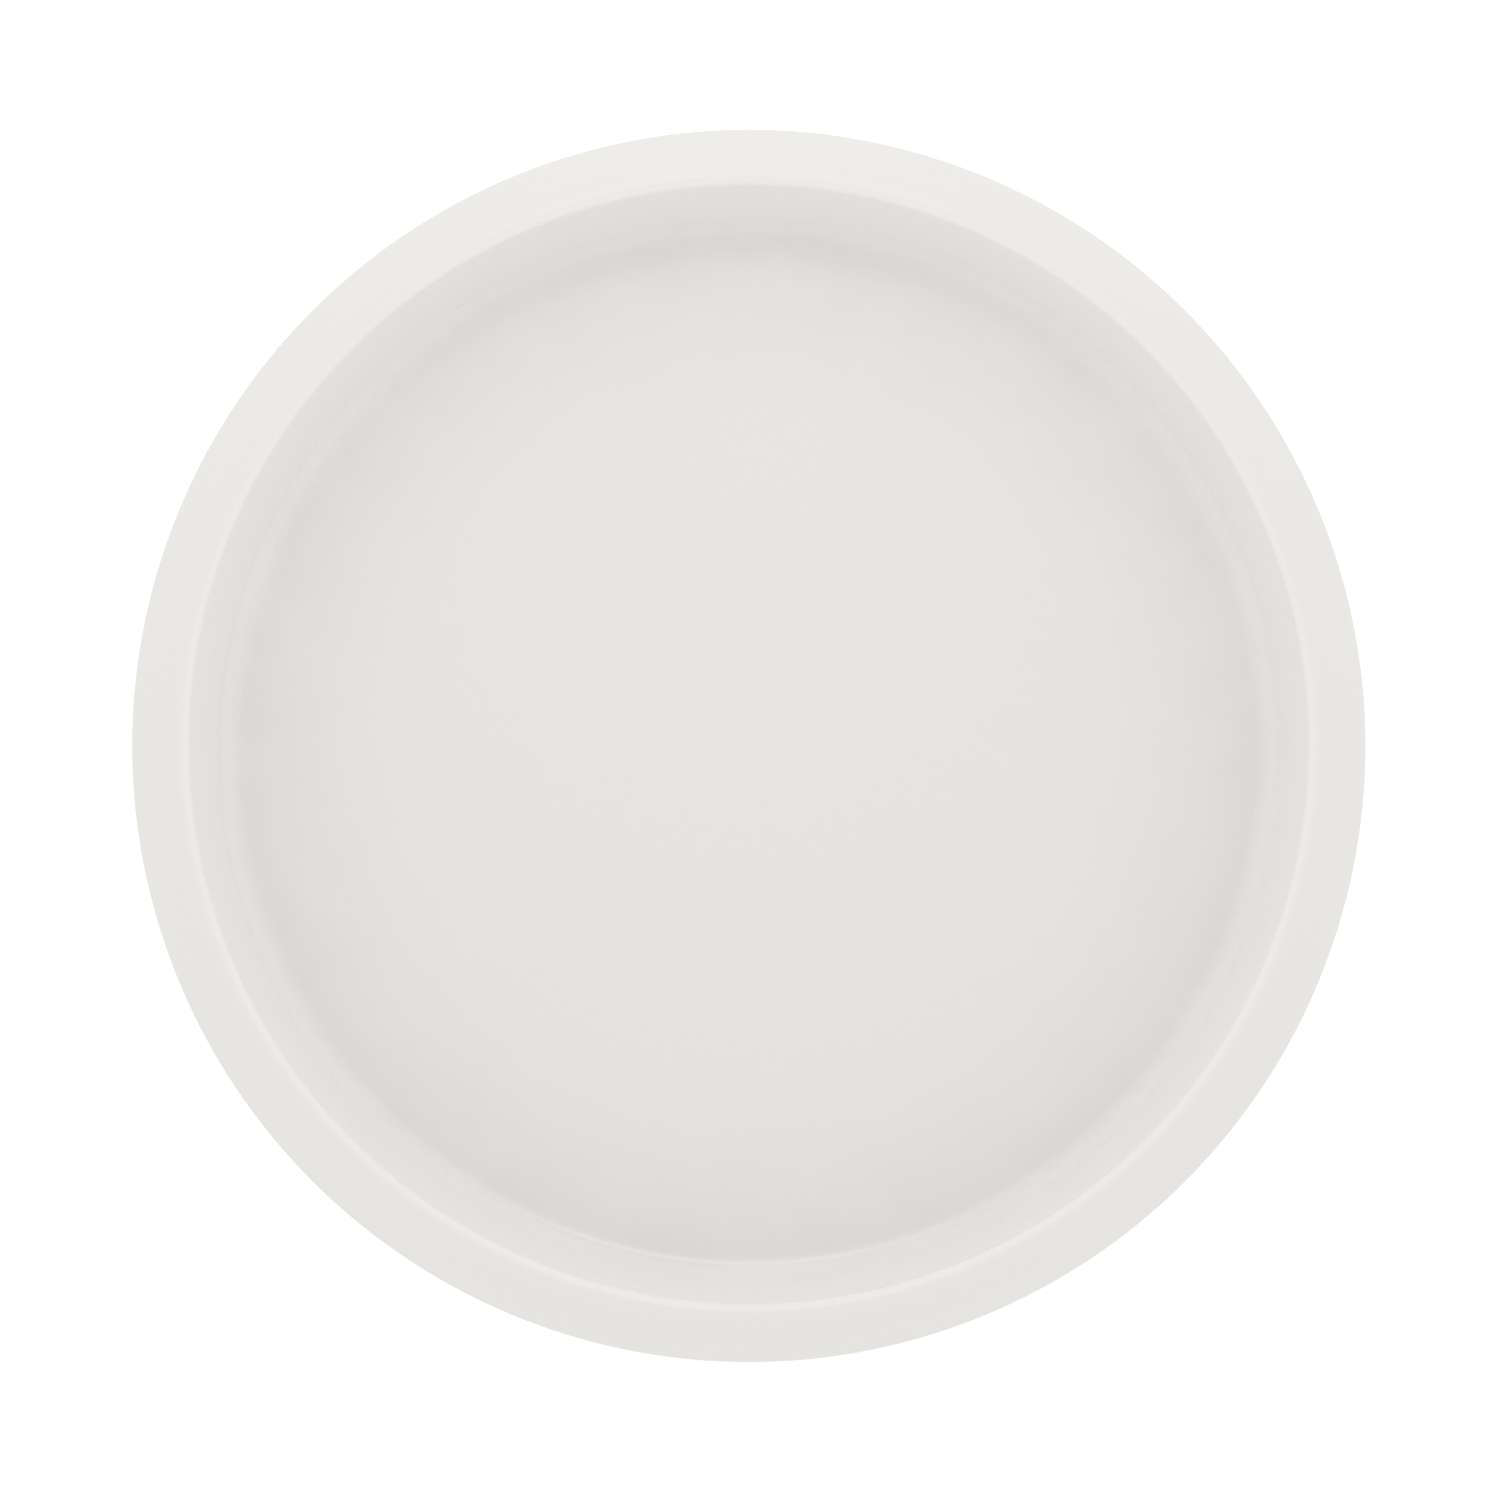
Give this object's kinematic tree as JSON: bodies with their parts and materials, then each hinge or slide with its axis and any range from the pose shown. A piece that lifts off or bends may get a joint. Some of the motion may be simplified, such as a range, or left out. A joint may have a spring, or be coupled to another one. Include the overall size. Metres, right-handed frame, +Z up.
{
  "type": "lazy susan turntable",
  "caption": "Deep round off-white plastic tray with a double-walled bevelled rim, turning on caged steel balls over a low ribbed base with rubber feet.",
  "frame": {"origin": "on the table, under the middle of the tray: the centre of the whole object's underside", "axes": "+Z up along the turning axis. The object is round, so +X and +Y are level directions at right angles, with the first bearing ball on +X at rest"},
  "size_m": [0.28, 0.28, 0.054],
  "materials": {
    "tray_plastic": "satin moulded polypropylene, fine grain on the floor",
    "base_plastic": "satin moulded polypropylene",
    "cage_plastic": "natural nylon, moulded",
    "bush_acetal": "natural acetal, smooth",
    "zinc_steel": "bright zinc plated",
    "ball_steel": "polished bearing steel",
    "foot_rubber": "matt grey rubber"
  },
  "bodies": {
    "base": {"base": "base_plastic", "pivot_bush": "bush_acetal", "rubber_foot_1": "foot_rubber", "rubber_foot_2": "foot_rubber", "rubber_foot_3": "foot_rubber", "rubber_foot_4": "foot_rubber", "rubber_foot_5": "foot_rubber", "rubber_foot_6": "foot_rubber"},
    "tray": {"tray": "tray_plastic", "pivot_screw": "zinc_steel", "retaining_washer": "zinc_steel"},
    "ball_cage": {"ball_cage": "cage_plastic"},
    "bearing_ball_01": {"bearing_ball_01": "ball_steel"},
    "bearing_ball_02": {"bearing_ball_02": "ball_steel"},
    "bearing_ball_03": {"bearing_ball_03": "ball_steel"},
    "bearing_ball_04": {"bearing_ball_04": "ball_steel"},
    "bearing_ball_05": {"bearing_ball_05": "ball_steel"},
    "bearing_ball_06": {"bearing_ball_06": "ball_steel"},
    "bearing_ball_07": {"bearing_ball_07": "ball_steel"},
    "bearing_ball_08": {"bearing_ball_08": "ball_steel"},
    "bearing_ball_09": {"bearing_ball_09": "ball_steel"},
    "bearing_ball_10": {"bearing_ball_10": "ball_steel"},
    "bearing_ball_11": {"bearing_ball_11": "ball_steel"},
    "bearing_ball_12": {"bearing_ball_12": "ball_steel"}
  },
  "joints": [
    {"name": "tray_spin", "type": "hinge", "parent": "base", "child": "tray", "pos_m": [0, 0, 0.018], "axis": [0, 0, 1], "continuous": true},
    {"name": "cage_orbit", "type": "hinge", "parent": "base", "child": "ball_cage", "pos_m": [0, 0, 0.011], "axis": [0, 0, 1], "continuous": true},
    {"name": "ball_01_roll", "type": "hinge", "parent": "ball_cage", "child": "bearing_ball_01", "pos_m": [0.07, 0, 0.011], "axis": [1, 0, 0], "continuous": true},
    {"name": "ball_02_roll", "type": "hinge", "parent": "ball_cage", "child": "bearing_ball_02", "pos_m": [0.06062, 0.035, 0.011], "axis": [0.866, 0.5, 0], "continuous": true},
    {"name": "ball_03_roll", "type": "hinge", "parent": "ball_cage", "child": "bearing_ball_03", "pos_m": [0.035, 0.06062, 0.011], "axis": [0.5, 0.866, 0], "continuous": true},
    {"name": "ball_04_roll", "type": "hinge", "parent": "ball_cage", "child": "bearing_ball_04", "pos_m": [0, 0.07, 0.011], "axis": [0, 1, 0], "continuous": true},
    {"name": "ball_05_roll", "type": "hinge", "parent": "ball_cage", "child": "bearing_ball_05", "pos_m": [-0.035, 0.06062, 0.011], "axis": [-0.5, 0.866, 0], "continuous": true},
    {"name": "ball_06_roll", "type": "hinge", "parent": "ball_cage", "child": "bearing_ball_06", "pos_m": [-0.06062, 0.035, 0.011], "axis": [-0.866, 0.5, 0], "continuous": true},
    {"name": "ball_07_roll", "type": "hinge", "parent": "ball_cage", "child": "bearing_ball_07", "pos_m": [-0.07, 0, 0.011], "axis": [-1, 0, 0], "continuous": true},
    {"name": "ball_08_roll", "type": "hinge", "parent": "ball_cage", "child": "bearing_ball_08", "pos_m": [-0.06062, -0.035, 0.011], "axis": [-0.866, -0.5, 0], "continuous": true},
    {"name": "ball_09_roll", "type": "hinge", "parent": "ball_cage", "child": "bearing_ball_09", "pos_m": [-0.035, -0.06062, 0.011], "axis": [-0.5, -0.866, 0], "continuous": true},
    {"name": "ball_10_roll", "type": "hinge", "parent": "ball_cage", "child": "bearing_ball_10", "pos_m": [0, -0.07, 0.011], "axis": [0, -1, 0], "continuous": true},
    {"name": "ball_11_roll", "type": "hinge", "parent": "ball_cage", "child": "bearing_ball_11", "pos_m": [0.035, -0.06062, 0.011], "axis": [0.5, -0.866, 0], "continuous": true},
    {"name": "ball_12_roll", "type": "hinge", "parent": "ball_cage", "child": "bearing_ball_12", "pos_m": [0.06062, -0.035, 0.011], "axis": [0.866, -0.5, 0], "continuous": true}
  ],
  "couplings": [
    {"joint": "cage_orbit", "follows": "tray_spin", "ratio": 0.5},
    {"joint": "ball_01_roll", "follows": "tray_spin", "ratio": -8.8183},
    {"joint": "ball_02_roll", "follows": "tray_spin", "ratio": -8.8183},
    {"joint": "ball_03_roll", "follows": "tray_spin", "ratio": -8.8183},
    {"joint": "ball_04_roll", "follows": "tray_spin", "ratio": -8.8183},
    {"joint": "ball_05_roll", "follows": "tray_spin", "ratio": -8.8183},
    {"joint": "ball_06_roll", "follows": "tray_spin", "ratio": -8.8183},
    {"joint": "ball_07_roll", "follows": "tray_spin", "ratio": -8.8183},
    {"joint": "ball_08_roll", "follows": "tray_spin", "ratio": -8.8183},
    {"joint": "ball_09_roll", "follows": "tray_spin", "ratio": -8.8183},
    {"joint": "ball_10_roll", "follows": "tray_spin", "ratio": -8.8183},
    {"joint": "ball_11_roll", "follows": "tray_spin", "ratio": -8.8183},
    {"joint": "ball_12_roll", "follows": "tray_spin", "ratio": -8.8183}
  ]
}
